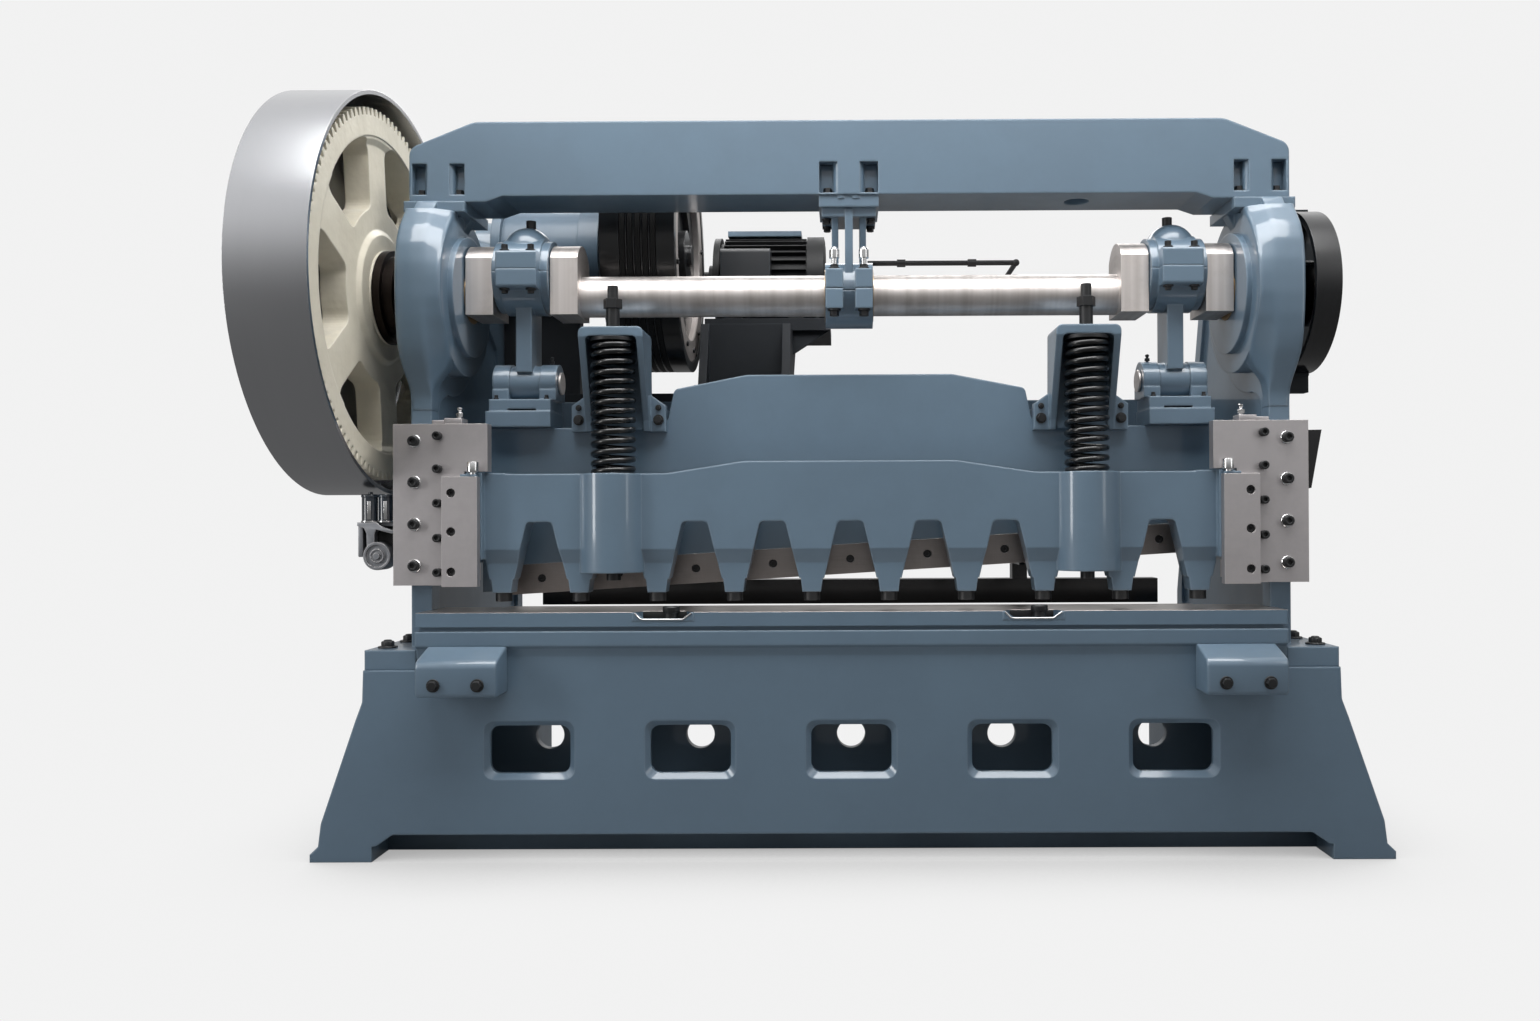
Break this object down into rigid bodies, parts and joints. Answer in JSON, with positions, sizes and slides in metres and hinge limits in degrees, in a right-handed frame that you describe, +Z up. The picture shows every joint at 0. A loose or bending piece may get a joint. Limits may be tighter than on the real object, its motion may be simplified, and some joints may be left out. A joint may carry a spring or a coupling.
{
  "type": "guillotine shear",
  "caption": "Mechanical guillotine shear: crankshaft-driven ram with raked blade, spring hold-down, geared flywheel drive, back gauge and cast base with table.",
  "frame": {"origin": "on the floor, at the middle of the four anchor holes", "axes": "+X to the right along the blades, +Y from the operator to the back, +Z up"},
  "size_m": [3.163, 1.9339, 2.3269],
  "materials": {
    "blue_paint": "gloss enamel over cast iron",
    "ground_steel": "ground, lightly oiled",
    "crank_steel": "turned and polished",
    "black_oxide": "black oxide, satin",
    "bronze": "machined bronze",
    "plated_steel": "bright plated",
    "cover_steel": "bright rolled sheet",
    "cream_paint": "cast and painted cream",
    "black_paint": "gloss black enamel",
    "dark_blue_paint": "dark enamel",
    "belt_rubber": "moulded rubber",
    "cast_aluminium": "as cast",
    "pipe_black": "painted pipe"
  },
  "bodies": {
    "frame": {"base": "blue_paint", "table": "blue_paint", "lower_blade": "ground_steel", "table_bolts": "black_oxide", "side_frame_left": "blue_paint", "side_frame_right": "blue_paint", "foot_bolts": "black_oxide", "top_beam": "blue_paint", "top_beam_bolts": "black_oxide", "main_bushes": "bronze", "centre_hanger": "blue_paint", "centre_cap": "blue_paint", "hanger_bolts": "black_oxide", "grease_cups": "plated_steel", "guide_plate_left": "ground_steel", "guide_plate_right": "ground_steel", "guide_plate_bolts": "black_oxide", "rear_gibs": "ground_steel", "arm_brackets": "blue_paint", "arm_bracket_bolts": "black_oxide", "rear_crossbeam": "blue_paint", "gear_cover": "cover_steel", "motor_pedestal": "dark_blue_paint", "motor_housing": "black_paint", "motor_terminal_box": "blue_paint", "flywheel_shaft_housing": "blue_paint", "drive_belts": "belt_rubber", "brake_band": "black_paint", "switch_box": "black_paint", "lubricator": "cast_aluminium", "oil_pipe": "pipe_black"},
    "crank": {"crankshaft": "crank_steel", "brake_drum": "black_paint"},
    "rod_left": {"conrod_left": "blue_paint", "conrod_cap_left": "blue_paint", "conrod_bolts_left": "black_oxide"},
    "rod_right": {"conrod_right": "blue_paint", "conrod_cap_right": "blue_paint", "conrod_bolts_right": "black_oxide"},
    "ram": {"ram": "blue_paint", "upper_blade": "ground_steel", "upper_blade_bolts": "black_oxide", "saddle_left": "blue_paint", "saddle_right": "blue_paint", "wrist_pins": "ground_steel", "saddle_bolts": "black_oxide", "yoke_left": "blue_paint", "yoke_right": "blue_paint", "yoke_screws": "black_oxide", "gauge_rails": "black_paint"},
    "hold_down": {"hold_down_beam": "blue_paint", "hold_down_pads": "black_oxide", "spring_left": "black_paint", "spring_right": "black_paint"},
    "back_gauge": {"back_gauge": "black_paint"},
    "gauge_screw_left": {"gauge_screw_left": "ground_steel"},
    "gauge_screw_right": {"gauge_screw_right": "ground_steel"},
    "drive_gear": {"drive_gear": "cream_paint"},
    "flywheel": {"flywheel": "black_paint"},
    "motor_pulley": {"motor_pulley": "black_paint"}
  },
  "joints": [
    {"name": "ram_slide", "type": "slide", "parent": "frame", "child": "ram", "axis": [0, 0, -1], "range_m": [0, 0.114], "deforming": ["spring_left", "spring_right"]},
    {"name": "crank_turn", "type": "hinge", "parent": "frame", "child": "crank", "pos_m": [0, -0.288, 1.66], "axis": [1, 0, 0], "range_deg": [0, 180]},
    {"name": "rod_left_swing", "type": "hinge", "parent": "ram", "child": "rod_left", "pos_m": [-0.987, -0.288, 1.394], "axis": [1, 0, 0], "range_deg": [-1, 11]},
    {"name": "rod_right_swing", "type": "hinge", "parent": "ram", "child": "rod_right", "pos_m": [0.987, -0.288, 1.394], "axis": [1, 0, 0], "range_deg": [-1, 11]},
    {"name": "hold_down_slide", "type": "slide", "parent": "frame", "child": "hold_down", "axis": [0, 0, -1], "range_m": [0, 0.024]},
    {"name": "back_gauge_slide", "type": "slide", "parent": "ram", "child": "back_gauge", "axis": [0, 1, 0], "range_m": [-0.265, 0.27]},
    {"name": "gauge_screw_left_turn", "type": "hinge", "parent": "ram", "child": "gauge_screw_left", "pos_m": [-0.57, -0.31, 0.85], "axis": [0, 1, 0], "continuous": true},
    {"name": "gauge_screw_right_turn", "type": "hinge", "parent": "ram", "child": "gauge_screw_right", "pos_m": [0.57, -0.31, 0.85], "axis": [0, 1, 0], "continuous": true},
    {"name": "drive_gear_turn", "type": "hinge", "parent": "frame", "child": "drive_gear", "pos_m": [-1.482, -0.288, 1.66], "axis": [1, 0, 0], "continuous": true},
    {"name": "flywheel_turn", "type": "hinge", "parent": "frame", "child": "flywheel", "pos_m": [-0.686, 0.299, 1.91501], "axis": [1, 0, 0], "continuous": true},
    {"name": "motor_turn", "type": "hinge", "parent": "frame", "child": "motor_pulley", "pos_m": [-0.686, 0.85, 1.928], "axis": [1, 0, 0], "continuous": true}
  ],
  "couplings": [
    {"joint": "crank_turn", "follows": "ram_slide", "rad_per_m": 27.51},
    {"joint": "rod_left_swing", "follows": "ram_slide", "rad_per_m": 1.1086},
    {"joint": "rod_right_swing", "follows": "ram_slide", "rad_per_m": 1.1086},
    {"joint": "hold_down_slide", "follows": "ram_slide", "ratio": 0.21},
    {"joint": "gauge_screw_left_turn", "follows": "back_gauge_slide", "rad_per_m": 523.6},
    {"joint": "gauge_screw_right_turn", "follows": "back_gauge_slide", "rad_per_m": 523.6},
    {"joint": "flywheel_turn", "follows": "drive_gear_turn", "ratio": -6.1111},
    {"joint": "motor_turn", "follows": "drive_gear_turn", "ratio": -27.878}
  ]
}
